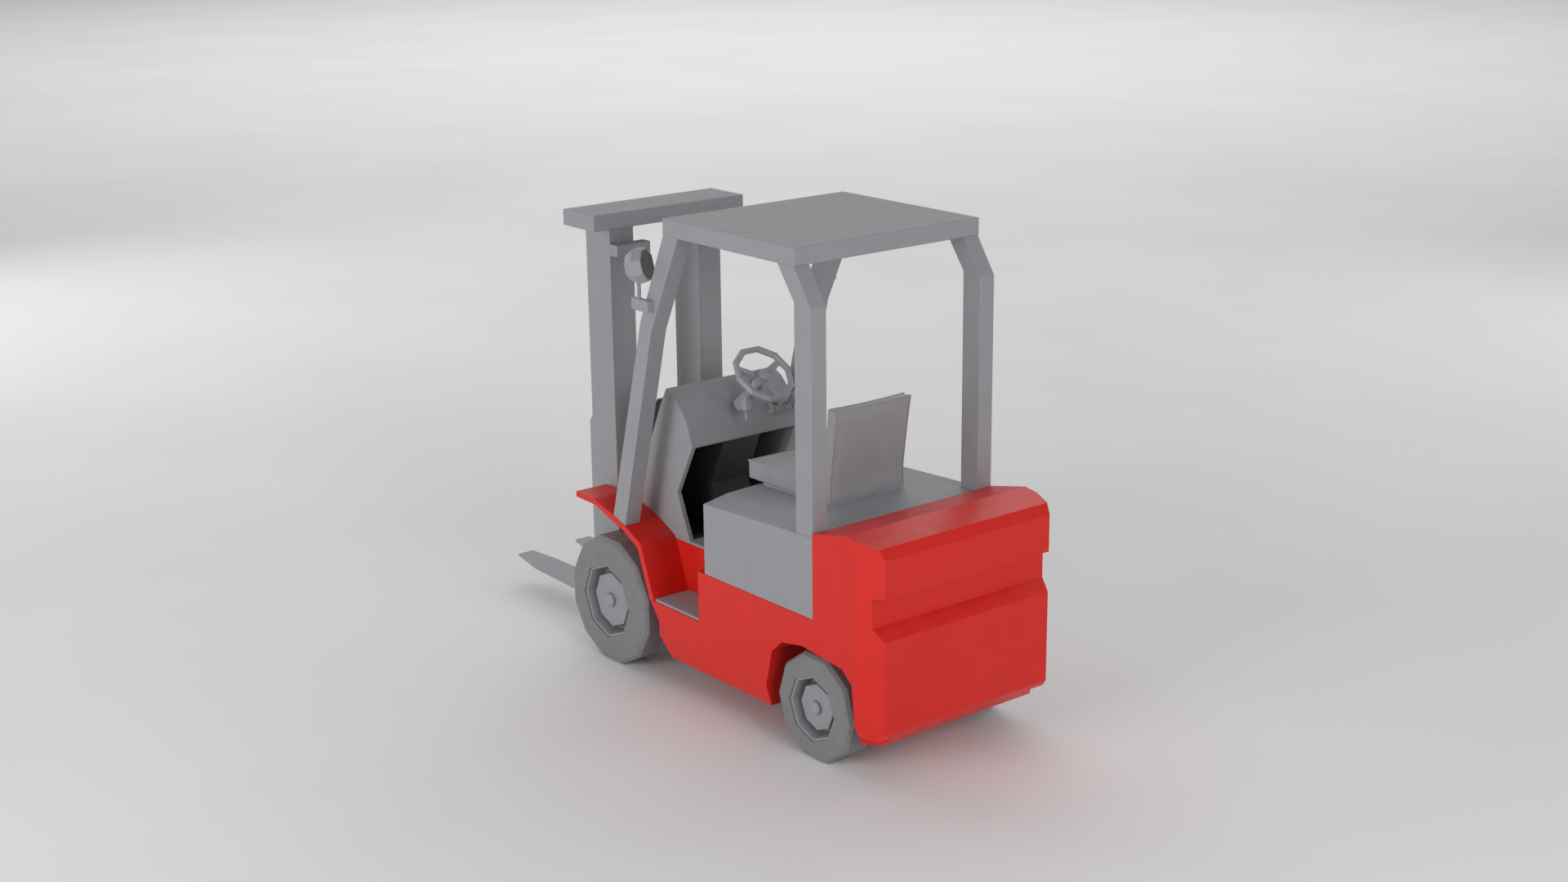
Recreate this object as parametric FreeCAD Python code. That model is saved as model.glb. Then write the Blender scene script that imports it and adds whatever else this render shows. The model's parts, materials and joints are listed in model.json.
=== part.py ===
import FreeCAD, Part
import math
import os

# Toy counterbalance forklift, millimetres, +Z up.
# The truck looks along -Y (forks at -Y), the driver's left is +X, the wheels stand on Z = 0.
# Stations along the truck are measured from the front axle and named *_y (positive to the rear).
# Every solid is shifted once, on export, so the origin is the middle of the footprint.

V = FreeCAD.Vector

# ---- driving dimensions --------------------------------------------------
body_half = 42.0            # half width of the body
tub_half = 25.8             # outside of the inner walls and of the cowl
wall = 3.0                  # inner wall thickness
wheelbase = 122.5
counter_len = 32.9          # counterweight, front face to rear face
counter_ahead = 1.7         # counterweight face behind the rear axle
sill_bottom = 12.0
sill_bevel = 8.5            # height of the sloping lower band
sill_inset = 2.6            # how far the lower band leans inwards
step_z = 34.0
step_behind_tyre = 7.6      # front end of the sill behind the front tyre
step_ledge = 4.2            # body side standing ahead of the hood
deck_z = 52.7               # top of the red sides, underside of the battery hood
plate = 1.0                 # step plate and cab floor thickness

front_tyre_r = 25.8
rear_tyre_r = 20.2
tyre_in = 28.1              # inner face of the rear tyres
tyre_w = 13.5
front_offset = 1.6          # front wheels stand this much further out
front_tyre_sides = 12
rear_tyre_sides = 10
rim_sides = 8
shoulder_out = 2.6          # axial length of the tyre shoulder
hub_depth = 2.6             # centre disc of every rim behind the tyre's outer face
axle_r = 2.0
run_fit = 0.05              # radial clearance of every running fit
end_gap = 0.3               # axial clearance beside moving parts

hood_front_y = 62.7
hood_side_front = 79.4      # height of the hood's side edge, front and rear
hood_side_rear = 82.2
hood_crown_front = 82.0
hood_crown_rear = 83.6

fender_t = 2.3
fender_tip_y = -20.2
fender_flat_y = -7.7
fender_over_tyre = 13.8     # sheet's highest point above the top of the front tyre

guard_top = 180.3
roof_h = 6.3
roof_skin = 2.4
roof_front_y = 42.1
roof_overhang = 8.4         # roof's rear edge ahead of the counterweight
post_w = 6.7                # width of every post across the truck
post_d = 8.7
post_lean = 8.6
post_bend_z = 161.0
pillar_top_d = 8.8
pillar_d = 7.3
pillar_bend_y = 26.5
pillar_bend_z = 139.8
pillar_foot_y = 5.0

seat_half = 17.7
seat_front_y = 57.5
seat_len = 42.0
cushion_z = 83.4
cushion_t = 6.8
back_t = 4.6
back_h = 27.0
back_lean = 3.7

cowl_wall = 2.0
column_half = 8.7

wheel_y = 45.6              # steering wheel centre
wheel_z = 117.2
wheel_tilt = 43.0           # angle of the wheel plane above the horizontal
wheel_r = 12.7
ring_r = 1.3

mast_half = 26.3
upright_w = 11.1
upright_d = 16.0
mast_front_y = -30.5
upright_bottom = 10.0
mast_top = 167.0
beam_half = 35.5
beam_h = 6.2
pivot_y = -9.0
pivot_z = 18.0
slot_neck_w = 3.2
slot_neck_d = 1.8
slot_head_w = 6.6
slot_head_d = 2.8
slide_gap = 0.12

carriage_half = 22.0
carriage_t = 5.0
carriage_bottom = 44.0
carriage_top = 85.0
fork_x = 9.3
fork_w = 10.7
fork_t = 3.4
fork_bottom = 8.0
fork_len = 62.0
shank_t = 5.6
fork_tip_w = 7.1
fork_tip_t = 1.0
hook_t = 2.4

kingpin_x = 25.4
kingpin_r = 1.5
ear_r = 2.6
steer_arm = 8.0
rod_pin_r = 0.8

mirror_out = 1.2            # mirror stem outside the body
mirror_y = 28.3             # mirror stem
mirror_z = 161.3            # middle of the mirror on its stem
mirror_r = 6.4
mirror_sides = 8
mirror_stem_r = 0.75
mirror_turn = 33.0          # how far each mirror is turned towards the driver
mirror_pitch = 12.0         # how far its face looks upwards

# ---- values that follow --------------------------------------------------
counter_front_y = wheelbase + counter_ahead
counter_rear_y = counter_front_y + counter_len
front_axle_z = front_tyre_r * math.cos(math.pi / front_tyre_sides)
rear_axle_z = rear_tyre_r * math.cos(math.pi / rear_tyre_sides)
tyre_out = tyre_in + tyre_w
hub_face = tyre_out - hub_depth
floor_z = deck_z + plate
step_front_y = front_tyre_r + step_behind_tyre
step_rear_y = hood_front_y - step_ledge
fender_top = front_axle_z + front_tyre_r + fender_over_tyre
pillar_foot_z = fender_top - 3.7
mirror_x = body_half + mirror_out
roof_z = guard_top - roof_h
roof_rear_y = counter_front_y - roof_overhang
mast_rear_y = mast_front_y + upright_d
carriage_rear_y = mast_front_y - 0.4
carriage_front_y = carriage_rear_y - carriage_t
shank_front_y = carriage_front_y - shank_t - end_gap
fork_tip_y = shank_front_y - fork_len
seat_rear_y = seat_front_y + seat_len
rear_post_y = counter_front_y - post_d - 0.2
SHIFT_Y = -(fork_tip_y + counter_rear_y) / 2.0


# ---- helpers ---------------------------------------------------------------
def box(x0, x1, y0, y1, z0, z1):
    return Part.makeBox(x1 - x0, y1 - y0, z1 - z0, V(x0, y0, z0))


def prism_x(points, x0, x1):
    """Side profile of (y, z) points drawn out from x0 to x1."""
    loop = [V(x0, y, z) for y, z in points]
    face = Part.Face(Part.makePolygon(loop + [loop[0]]))
    return face.extrude(V(x1 - x0, 0, 0))


def prism_z(points, z0, z1):
    """Plan of (x, y) points drawn out from z0 to z1."""
    loop = [V(x, y, z0) for x, y in points]
    face = Part.Face(Part.makePolygon(loop + [loop[0]]))
    return face.extrude(V(0, 0, z1 - z0))


def loft(loops):
    """Solid with flat or ruled sides through closed loops of equal point count."""
    wires = [Part.makePolygon(loop + [loop[0]]) for loop in loops]
    return Part.makeLoft(wires, True, True)


def rod(start, end, radius):
    axis = end.sub(start)
    return Part.makeCylinder(radius, axis.Length, start, axis)


def rod_x(x0, x1, y, z, radius):
    return rod(V(x0, y, z), V(x1, y, z), radius)


def rod_z(x, y, z0, z1, radius):
    return rod(V(x, y, z0), V(x, y, z1), radius)


def ngon_x(x, y, z, radius, sides, turn=0.5):
    """Regular loop in a plane of constant X; turn is in fractions of one side."""
    step = 2.0 * math.pi / sides
    loop = []
    for i in range(sides):
        a = (i + turn) * step - math.pi / 2.0
        loop.append(V(x, y + radius * math.cos(a), z + radius * math.sin(a)))
    return loop


def join(first, *others):
    return first.fuse(list(others)).removeSplitter()


def flip(shape):
    """The same piece for the other side of the truck."""
    return shape.mirror(V(0, 0, 0), V(1, 0, 0))


def outwards(shape, distance):
    moved = shape.copy()
    moved.translate(V(distance, 0, 0))
    return moved


def save(name, shape):
    placed = shape.copy()
    placed.translate(V(0, SHIFT_Y, 0))
    placed.exportStep("parts/" + name + ".step")


def save_pair(name, shape):
    save(name + "_left", shape)
    save(name + "_right", flip(shape))


# ---- body ------------------------------------------------------------------
def rear_arch(x0, x1):
    """Space the steered rear wheel turns in."""
    y = wheelbase - 1.0
    reach = rear_tyre_r + 3.5
    top = rear_axle_z + rear_tyre_r + 2.0
    points = [(y - reach, -1.0), (y - reach, 20.0), (y - 0.85 * reach, 34.5), (y - 0.62 * reach, top - 2.1)]
    points += [(y - 0.15 * reach, top), (y + 0.4 * reach, top - 1.2), (y + 0.76 * reach, top - 2.0)]
    points += [(y + 0.97 * reach, 34.9), (y + 1.03 * reach, 20.6), (y + 1.15 * reach, -1.0)]
    return prism_x(points, x0, x1)


def body_side():
    """Left side moulding: sill, step recess, band over the arch and the inner wall."""
    x_in = tub_half - wall
    low = sill_bottom + sill_bevel
    section = [(x_in, sill_bottom), (body_half - sill_inset, sill_bottom), (body_half, low)]
    section += [(body_half, deck_z), (x_in, deck_z)]
    loop = [V(x, step_front_y, z) for x, z in section]
    face = Part.Face(Part.makePolygon(loop + [loop[0]]))
    block = face.extrude(V(0, counter_front_y - step_front_y, 0))
    under_step = step_z - plate
    nose = prism_x([(step_front_y - 5.4, under_step), (step_front_y, under_step), (step_front_y, 26.0)],
                   x_in, body_half)
    block = block.fuse(nose)
    recess = box(tub_half, body_half + 1, 0, step_rear_y, under_step, deck_z + 1)
    heel = prism_x([(step_front_y - 1, 0), (step_front_y + 4.1, 0), (step_front_y + 4.1, sill_bottom),
                    (step_front_y, low), (step_front_y - 1, low)], tub_half, body_half + 1)
    inner = box(x_in, tub_half, -5.0, step_front_y + 1, 20.0, deck_z)
    shell = block.cut(recess).cut(heel).cut(rear_arch(x_in - 1, body_half + 1))
    shell = join(shell, inner)
    return shell.cut(rod_x(0, 60, 0, front_axle_z, axle_r))


def fender_top_line():
    return [(fender_tip_y, fender_top), (fender_flat_y, fender_top - 0.2), (pillar_foot_y, pillar_foot_z),
            (pillar_foot_y + 7.5, pillar_foot_z - 2.3), (front_tyre_r - 3.3, pillar_foot_z - 7.0),
            (front_tyre_r + 4.6, step_z - plate)]


def fender():
    """Thin bent sheet over the left front wheel, closing the front of the step recess."""
    top = fender_top_line()
    under = [(fender_tip_y, fender_top - 2.2), (fender_flat_y + 0.8, fender_top - 2.5)]
    under += [(pillar_foot_y - 1.2, pillar_foot_z - fender_t)]
    under += [(pillar_foot_y + 6.4, pillar_foot_z - 2.3 - fender_t)]
    under += [(front_tyre_r - 5.2, pillar_foot_z - 9.2), (front_tyre_r + 1.8, step_z - plate)]
    sheet = prism_x(top + under[::-1], tub_half, body_half)
    mast_corner = box(tub_half - 1, mast_half + 1.4, fender_tip_y - 1, -8.0, fender_top - 15, fender_top + 5)
    return sheet.cut(mast_corner)


def step_plate():
    return box(tub_half, body_half - 0.5, front_tyre_r + 4.8, step_rear_y, step_z - plate, step_z)


def chassis_frame():
    """Dark underframe: belly plate, front axle block, front bulkhead and mast lugs."""
    half = tub_half - wall
    belly = box(-half, half, 22.0, wheelbase - 26.5, 24.0, 30.0)
    block = box(-half, half, -5.0, 22.0, 20.0, front_axle_z + 6.0)
    bulkhead = box(-half, half, -5.0, -2.0, 20.0, deck_z)
    tongue = box(-10.0, 10.0, wheelbase - 26.5, counter_front_y, rear_axle_z + 4.0, 30.0)
    frame = join(belly, block, bulkhead, tongue)
    for side in (-1, 1):
        x0 = side * 11.0 - 3.0
        lug = prism_x([(-5, 14), (pivot_y, pivot_z - 4), (pivot_y - 4, pivot_z), (pivot_y - 3, pivot_z + 4),
                       (-5, 30), (0, 30), (0, 20)], x0, x0 + 6.0)
        frame = frame.fuse(lug)
    frame = frame.removeSplitter()
    frame = frame.cut(rod_x(-60, 60, 0, front_axle_z, axle_r))
    return frame.cut(rod_x(-60, 60, pivot_y, pivot_z, axle_r))


def cab_floor():
    return box(-tub_half, tub_half, -5.0, hood_front_y, deck_z, floor_z)


def counterweight():
    """Heavy rear casting with a crowned top, a cross groove and bevelled corners."""
    rear = counter_rear_y
    front = counter_front_y
    side = [(front, 14.0), (rear - 4.5, 14.0), (rear, 19.5), (rear, 53.0), (rear - 4.6, 57.0)]
    side += [(rear - 4.6, 67.4), (rear, 68.0), (rear, 81.6), (rear - 2.2, 85.3)]
    side += [(front + 17.0, 87.3), (front, hood_crown_rear)]
    block = prism_x(side, -body_half, body_half)
    for s in (-1, 1):
        corner = prism_z([(s * body_half, rear - 10.1), (s * (body_half - 3.8), rear),
                          (s * (body_half - 3.8), rear + 2), (s * (body_half + 2), rear + 2),
                          (s * (body_half + 2), rear - 10.1)], 0, 100)
        block = block.cut(corner)
        wedges = [[V(s * (body_half - sill_inset), y, 13.0), V(s * (body_half + 1), y, 13.0),
                   V(s * (body_half + 1), y, 20.5), V(s * body_half, y, 20.5)]
                  for y in (front - 1, rear + 1)]
        low = loft(wedges)
        foot = prism_z([(s * (body_half - 12), rear + 1), (s * (body_half + 1), rear - 14),
                        (s * (body_half + 1), rear + 1)], 13.0, 17.0)
        a0, a1 = sorted((s * 18.5, s * (body_half + 1)))
        block = block.cut(low).cut(foot).cut(rear_arch(a0, a1))
    bay = box(-body_half, body_half, front - 1, wheelbase + 5.5, 0, 31.0)
    return block.cut(bay)


def battery_hood():
    """Grey battery cover with a gently crowned lid."""

    def section(y, edge, crown):
        rise = crown - edge
        half = body_half
        top = [(half, edge), (half - 11.0, edge + 0.72 * rise), (half - 26.0, edge + 0.95 * rise)]
        loop = [(-half, deck_z), (half, deck_z)] + top + [(-x, z) for x, z in top[::-1]]
        return [V(x, y, z) for x, z in loop]

    return loft([section(hood_front_y, hood_side_front, hood_crown_front),
                 section(counter_front_y, hood_side_rear, hood_crown_rear)])


# ---- cowl and foot well ------------------------------------------------------
DASH = [(19.0, 110.8), (24.3, 107.9), (28.3, 104.0), (31.7, 99.5), (34.6, 91.0)]
DASH_IN = [(18.6, 108.2), (23.0, 105.9), (26.7, 102.4), (29.7, 98.4), (32.4, 90.4)]
KNEE = (24.5, 71.2)
HEEL = (31.9, floor_z)
COWL_FRONT = [(1.0, floor_z), (0.0, 61.7), (6.2, 84.5), (15.3, 104.0)]


def cowl():
    """Dash and side cheeks; open at the front, where the black liner closes it."""
    outline = COWL_FRONT + DASH + [KNEE, HEEL]
    shell = prism_x(outline, -tub_half, tub_half)
    inside = [(-9.0, 50.0), (-9.0, 102.4), (16.6, 102.4)] + DASH_IN + [(45.0, 90.4), (45.0, 50.0)]
    half = tub_half - cowl_wall
    shell = shell.cut(prism_x(inside, -half, half))
    return shell.cut(column_bore())


def footwell_liner():
    """Black moulding: sloping front panel, floor pan and toe board."""
    half = tub_half - cowl_wall
    front = [(-3.2, floor_z), (-3.6, 61.7), (2.6, 84.5), (10.2, 101.0), (12.6, 105.4)]
    seam = [(15.9, 105.4), (15.3, 104.0), (6.2, 84.5), (0.0, 61.7), (1.0, floor_z)]
    panel = prism_x(front + seam, -tub_half + 0.4, tub_half - 0.4)
    lining = [(1.0, floor_z), (0.0, 61.7), (6.2, 84.5), (14.5, 102.3), (17.0, 102.3), (8.4, 83.8)]
    lining += [(2.6, 62.0), (3.4, floor_z + 1.2), (30.5, floor_z + 1.2), (31.0, floor_z)]
    return join(panel, prism_x(lining, -half, half))


def column_cover():
    """Console in the middle of the foot well, from the toe board up to the dash."""
    rear = [(30.2, floor_z + 1.2), (KNEE[0] - 0.8, KNEE[1]), (31.6, 89.4), (28.6, 97.6), (26.0, 101.6)]
    front = [(17.0, 102.3), (8.4, 83.8), (2.6, 62.0), (3.4, floor_z + 1.2)]
    block = prism_x(rear + front, -column_half, column_half)
    return block.cut(column_bore())


# ---- steering ----------------------------------------------------------------
TILT = math.radians(wheel_tilt)
HUB = V(0, wheel_y, wheel_z)
COLUMN_DIR = V(0, math.sin(TILT), math.cos(TILT))
UP_DIR = V(0, -math.cos(TILT), math.sin(TILT))
column_r = 1.9
shaft_r = 1.1


def along(distance):
    return HUB.add(V(COLUMN_DIR).multiply(distance))


def column_bore():
    return rod(along(-26.0), along(-5.0), column_r)


def steering_column():
    """Fixed tube with a faceted boot where it leaves the dash."""
    tube = rod(along(-25.9), along(-4.2), column_r)
    loops = []
    for distance, radius in ((-20.5, 3.3), (-16.5, 2.8), (-13.5, 2.1)):
        loops.append([wheel_point(radius, 45.0 * i, distance) for i in range(8)])
    boot = loft(loops)
    boot = boot.cut(cowl())
    column = join(tube, boot)
    return column.cut(rod(along(-12.0), along(0.0), shaft_r + run_fit))


def wheel_point(radius, angle, lift=0.0):
    """Point round the column's axis, lifted along it from the steering wheel's plane."""
    a = math.radians(angle)
    p = along(lift).add(V(radius * math.cos(a), 0, 0))
    return p.add(V(UP_DIR).multiply(radius * math.sin(a)))


def steering_wheel():
    """Ten-sided rim on three flat spokes, with the shaft that turns in the column."""
    sides = 10
    mid = wheel_r - ring_r
    loops = []
    for i in range(sides + 1):
        loop = []
        for k in range(6):
            a = math.pi * k / 3
            loop.append(wheel_point(mid + ring_r * math.cos(a), 36.0 * (i % sides), ring_r * math.sin(a)))
        loops.append(loop)
    segments = [loft([loops[i], loops[i + 1]]) for i in range(sides)]
    ring = join(segments[0], *segments[1:])
    hub = rod(along(-3.9), along(-0.6), 2.7)
    shaft = rod(along(-11.9), along(-3.8), shaft_r)
    spokes = []
    for angle in (-90.0, 22.0, 158.0):
        a = math.radians(angle)
        across = V(-math.sin(a), 0, 0).add(V(UP_DIR).multiply(math.cos(a))).multiply(1.15)
        inner = wheel_point(1.5, angle, -2.2)
        outer = wheel_point(mid, angle, -0.1)
        up = V(COLUMN_DIR).multiply(0.8)
        loops = []
        for p in (inner, outer):
            below = p.sub(up)
            above = p.add(up)
            loops.append([below.sub(across), below.add(across), above.add(across), above.sub(across)])
        spokes.append(loft(loops))
    return ring.fuse([hub, shaft] + spokes).removeSplitter()


def steering_cap():
    """Eight-sided horn button in the middle of the wheel."""
    loops = []
    for lift, radius in ((-0.6, 2.4), (0.1, 2.4), (0.4, 1.9)):
        loops.append([wheel_point(radius, 45.0 * i + 22.5, lift) for i in range(8)])
    return loft(loops)


stalk_at = -8.6             # where the direction lever leaves the column, below the wheel


def direction_stalk():
    """Left-hand lever on the column with a faceted knob."""
    at = along(stalk_at)
    collar = rod(at.sub(V(COLUMN_DIR).multiply(1.2)), at.add(V(COLUMN_DIR).multiply(1.2)), column_r + 1.0)
    knob_at = at.add(V(4.5, 0.8, -5.9))
    arm = rod(at.add(V(2.1, 0.4, -0.6)), knob_at, 0.7)
    loops = []
    for dz, radius in ((-2.8, 0.9), (-1.6, 2.0), (1.0, 2.1), (3.4, 0.9)):
        loop = []
        for i in range(7):
            a = 2 * math.pi * i / 7
            loop.append(knob_at.add(V(radius * math.cos(a), radius * math.sin(a), dz)))
        loops.append(loop)
    tail = rod(knob_at.add(V(0, 0, -5.6)), knob_at.add(V(0, 0, -2.0)), 0.6)
    lever = collar.fuse([arm, loft(loops), tail]).removeSplitter()
    return lever.cut(rod(along(-20), along(0), column_r + run_fit))


lever_pitch = 4.2
lever_first_x = -14.6
lever_y = 35.0
lever_z = 99.0
lever_pin_r = 0.6


def lever_rack():
    """Small bracket on the dash carrying the three hydraulic levers."""
    x1 = lever_first_x + 2.6
    x0 = lever_first_x - 2 * lever_pitch - 2.6
    bar = prism_x([(30.0, 98.0), (33.2, 96.8), (33.4, 99.0), (32.0, 101.0)], x0, x1)
    bar = bar.cut(cowl())
    for i in range(4):
        x = lever_first_x + lever_pitch / 2 - i * lever_pitch
        cheek = prism_x([(32.4, 97.0), (lever_y + 0.5, 97.8), (lever_y + 1.1, 99.1), (lever_y + 0.2, 100.1),
                         (31.9, 100.8)], x - 0.5, x + 0.5)
        bar = bar.fuse(cheek)
    return join(bar.cut(cowl()), rod_x(x0, x1, lever_y, lever_z, lever_pin_r))


def hydraulic_lever(i):
    """Short handle turning on the rack's pin, with a tapered knob."""
    x = lever_first_x - i * lever_pitch
    eye = rod_x(x - 1.3, x + 1.3, lever_y, lever_z, 1.2)
    stem = rod(V(x, lever_y + 0.5, lever_z + 0.7), V(x, lever_y + 4.4, lever_z + 5.0), 0.55)
    loops = []
    for dy, dz, radius in ((1.6, 1.8, 0.6), (5.0, 5.6, 1.45), (6.2, 7.0, 0.8)):
        loop = []
        for k in range(6):
            a = math.pi * k / 3
            c = math.cos(a) * radius
            s = math.sin(a) * radius
            loop.append(V(x + c, lever_y + dy - 0.74 * s, lever_z + dz + 0.67 * s))
        loops.append(loop)
    lever = eye.fuse([stem, loft(loops)]).removeSplitter()
    return lever.cut(rod_x(x - 3, x + 3, lever_y, lever_z, lever_pin_r + run_fit))


# ---- seat --------------------------------------------------------------------
def seat_base():
    plinth = box(-seat_half + 1.2, seat_half - 1.2, seat_front_y + 8.0, seat_rear_y + 5.0,
                 hood_side_front, cushion_z)
    return plinth.cut(battery_hood())


def seat_cushion():
    y0 = seat_front_y
    y1 = seat_rear_y
    top = cushion_z + cushion_t
    points = [(y0, cushion_z), (y1, cushion_z), (y1, top + 1.7), (y0 + 1.0, top), (y0, top - 1.0)]
    return prism_x(points, -seat_half, seat_half)


def seat_backrest():
    y0 = seat_rear_y + 0.3
    y1 = y0 + back_t
    fold = cushion_z + 8.4
    top = fold + back_h
    points = [(y0, cushion_z), (y1, cushion_z), (y1 + 0.2, fold), (y1 + back_lean, top - 0.9),
              (y1 + back_lean - 1.0, top), (y0 + back_lean, top), (y0 + 0.2, fold)]
    return prism_x(points, -seat_half, seat_half)


# ---- overhead guard ------------------------------------------------------------
def roof_panel():
    slab = box(-body_half, body_half, roof_front_y, roof_rear_y, roof_z, guard_top)
    rim = post_w + 0.4
    dish = box(-body_half + rim, body_half - rim, roof_front_y + 9.0, roof_rear_y - 9.0,
               roof_z - 1, guard_top - roof_skin)
    return slab.cut(dish)


def rear_post():
    y0 = rear_post_y
    y1 = rear_post_y + post_d
    points = [(y0, 78.0), (y1, 78.0), (y1, post_bend_z), (y1 - post_lean, roof_z), (y0 - post_lean, roof_z),
              (y0, post_bend_z + 1.0)]
    post = prism_x(points, body_half - 0.2 - post_w, body_half - 0.2)
    return post.cut(battery_hood())


def front_pillar():
    y0 = pillar_foot_y
    points = [(y0 + 0.4, pillar_foot_z - 1.6), (y0 + pillar_d - 0.6, pillar_foot_z - 3.7),
              (y0 + pillar_d + 0.2, pillar_foot_z - 2.5)]
    points += [(pillar_bend_y + pillar_d - 0.6, pillar_bend_z - 2.4), (roof_front_y + pillar_top_d, roof_z)]
    points += [(roof_front_y, roof_z), (pillar_bend_y, pillar_bend_z), (y0, pillar_foot_z)]
    pillar = prism_x(points, body_half - 0.2 - post_w, body_half - 0.2)
    return pillar.cut(fender())


# ---- mirrors -------------------------------------------------------------------
TURN = math.radians(mirror_turn)
PITCH = math.radians(mirror_pitch)
MIRROR_FACE = V(-math.sin(TURN) * math.cos(PITCH), math.cos(TURN) * math.cos(PITCH), math.sin(PITCH))
MIRROR_SIDE = V(math.cos(TURN), math.sin(TURN), 0)
MIRROR_UP = MIRROR_SIDE.cross(MIRROR_FACE)
bracket_z = 145.0


def mirror_bracket():
    """Bar on the outer face of the front pillar with an upright bore for the stem."""
    x0 = body_half - 0.2
    arm = box(x0, x0 + 2.6, mirror_y - 3.4, mirror_y + 6.7, bracket_z, bracket_z + 4.3)
    return arm.cut(rod_z(mirror_x, mirror_y, bracket_z + 1.2, bracket_z + 9, mirror_stem_r + run_fit))


def mirror_ring(ahead, radius):
    """Loop square to the mirror's axis, ahead of the stem by the given distance."""
    centre = V(mirror_x, mirror_y, mirror_z).add(V(MIRROR_FACE).multiply(ahead))
    loop = []
    for i in range(mirror_sides):
        a = 2 * math.pi * (i + 0.5) / mirror_sides
        p = centre.add(V(MIRROR_SIDE).multiply(radius * math.cos(a)))
        loop.append(p.add(V(MIRROR_UP).multiply(radius * math.sin(a))))
    return loop


def mirror_head():
    """Faceted pod on a stem that turns in the bracket, dished for the mirror face."""
    pod = loft([mirror_ring(3.6, mirror_r), mirror_ring(0.0, mirror_r + 0.5),
                mirror_ring(-3.4, 0.77 * mirror_r), mirror_ring(-4.2, 0.4 * mirror_r)])
    dish = loft([mirror_ring(4.0, mirror_r - 0.8), mirror_ring(3.0, mirror_r - 0.8)])
    stem = rod_z(mirror_x, mirror_y, bracket_z + 1.4, mirror_z - 0.8 * mirror_r, mirror_stem_r)
    return join(pod.cut(dish), stem)


def mirror_glass():
    return loft([mirror_ring(3.0, mirror_r - 0.85), mirror_ring(3.4, mirror_r - 0.85)])


# ---- mast, carriage and forks ----------------------------------------------------
rail_x = mast_half - upright_w / 2.0


def t_slot(grow, y_front, z0, z1):
    """T-shaped guide, widened by grow on every side."""
    neck = box(rail_x - slot_neck_w / 2 - grow, rail_x + slot_neck_w / 2 + grow,
               y_front, mast_front_y + slot_neck_d + 0.6, z0, z1)
    y0 = mast_front_y + slot_neck_d - grow
    y1 = mast_front_y + slot_neck_d + slot_head_d + grow
    head = box(rail_x - slot_head_w / 2 - grow, rail_x + slot_head_w / 2 + grow, y0, y1, z0, z1)
    return join(neck, head)


def mast_upright():
    """Left upright with its front guide slot and the lug for the tilt pin."""
    x0 = mast_half - upright_w
    post = box(x0, mast_half, mast_front_y, mast_rear_y, upright_bottom, mast_top)
    lug = prism_x([(mast_rear_y, 12.0), (pivot_y + 1, pivot_z - 4.0), (pivot_y + 3.5, pivot_z - 1.8),
                   (pivot_y + 3.5, pivot_z + 1.8), (pivot_y + 1, pivot_z + 4.0), (mast_rear_y, 27.0)],
                  x0 + 0.4, x0 + 7.4)
    upright = join(post, lug)
    upright = upright.cut(t_slot(slide_gap, mast_front_y - 1, upright_bottom - 1, mast_top - 2.0))
    return upright.cut(rod_x(0, 60, pivot_y, pivot_z, axle_r + run_fit))


def mast_crossbeam():
    return box(-beam_half, beam_half, mast_front_y - 1.3, mast_rear_y + 3.4, mast_top, mast_top + beam_h)


def mast_tie_bars():
    """Short blocks behind the uprights near the top, and a bar low down between them."""
    upper = box(mast_half - 15.4, mast_half, mast_rear_y, mast_rear_y + 5.0, 156.4, 160.8)
    x = mast_half - upright_w
    lower = box(-x, x, mast_rear_y - 6.0, mast_rear_y - 1.0, 30.0, 38.0)
    return Part.makeCompound([upper, flip(upper), lower])


def mast_pin():
    return rod_x(-22.4, 22.4, pivot_y, pivot_z, axle_r)


def carriage():
    """Two fork bars on side plates, with T-shaped shoes running in the uprights."""
    y0 = carriage_front_y
    y1 = carriage_rear_y
    top = prism_x([(y1, carriage_top), (y0 + 1.6, carriage_top), (y0, carriage_top - 1.6),
                   (y0, carriage_top - 10), (y1, carriage_top - 10)], -carriage_half, carriage_half)
    low = box(-carriage_half, carriage_half, y0, y1, carriage_bottom, carriage_bottom + 9)
    plates = top.fuse(low)
    for s in (-1, 1):
        x0, x1 = sorted((s * (rail_x - 4.0), s * (carriage_half)))
        side = box(x0, x1, y0 + 1.0, y1, carriage_bottom, carriage_top - 2)
        shoe = t_slot(0.0, y1 - 0.5, carriage_bottom + 2, carriage_top - 4)
        plates = plates.fuse([side, shoe if s > 0 else flip(shoe)])
    return plates.removeSplitter()


def fork():
    """Left fork: flat-topped tapering blade, shank and a hook over the upper carriage bar."""
    x0 = fork_x
    x1 = fork_x + fork_w
    yf = shank_front_y
    yb = carriage_front_y - end_gap
    top = carriage_top + hook_t
    shank = prism_x([(yf, fork_bottom + 2.0), (yf + 2.2, fork_bottom), (yb, fork_bottom), (yb, top),
                     (yf + 2.0, top), (yf, top - 3.0)], x0, x1)
    hook = box(x0, x1, yb - 0.1, carriage_rear_y - 1.2, carriage_top + slide_gap, top)
    tip_x0 = x0 + (fork_w - fork_tip_w) / 2
    tip_x1 = tip_x0 + fork_tip_w
    top_z = fork_bottom + fork_t

    def section(y, xa, xb, thick):
        return [V(xa, y, top_z - thick), V(xb, y, top_z - thick), V(xb, y, top_z), V(xa, y, top_z)]

    blade = loft([section(yf + 2.4, x0, x1, fork_t), section(yf - 0.74 * fork_len, x0, x1, 0.66 * fork_t),
                  section(fork_tip_y, tip_x0, tip_x1, fork_tip_t)])
    return join(shank, hook, blade)


# ---- axles and steering linkage ----------------------------------------------------
def front_axle():
    end = hub_face + front_offset - 0.1
    return rod_x(-end, end, 0, front_axle_z, axle_r)


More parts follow.
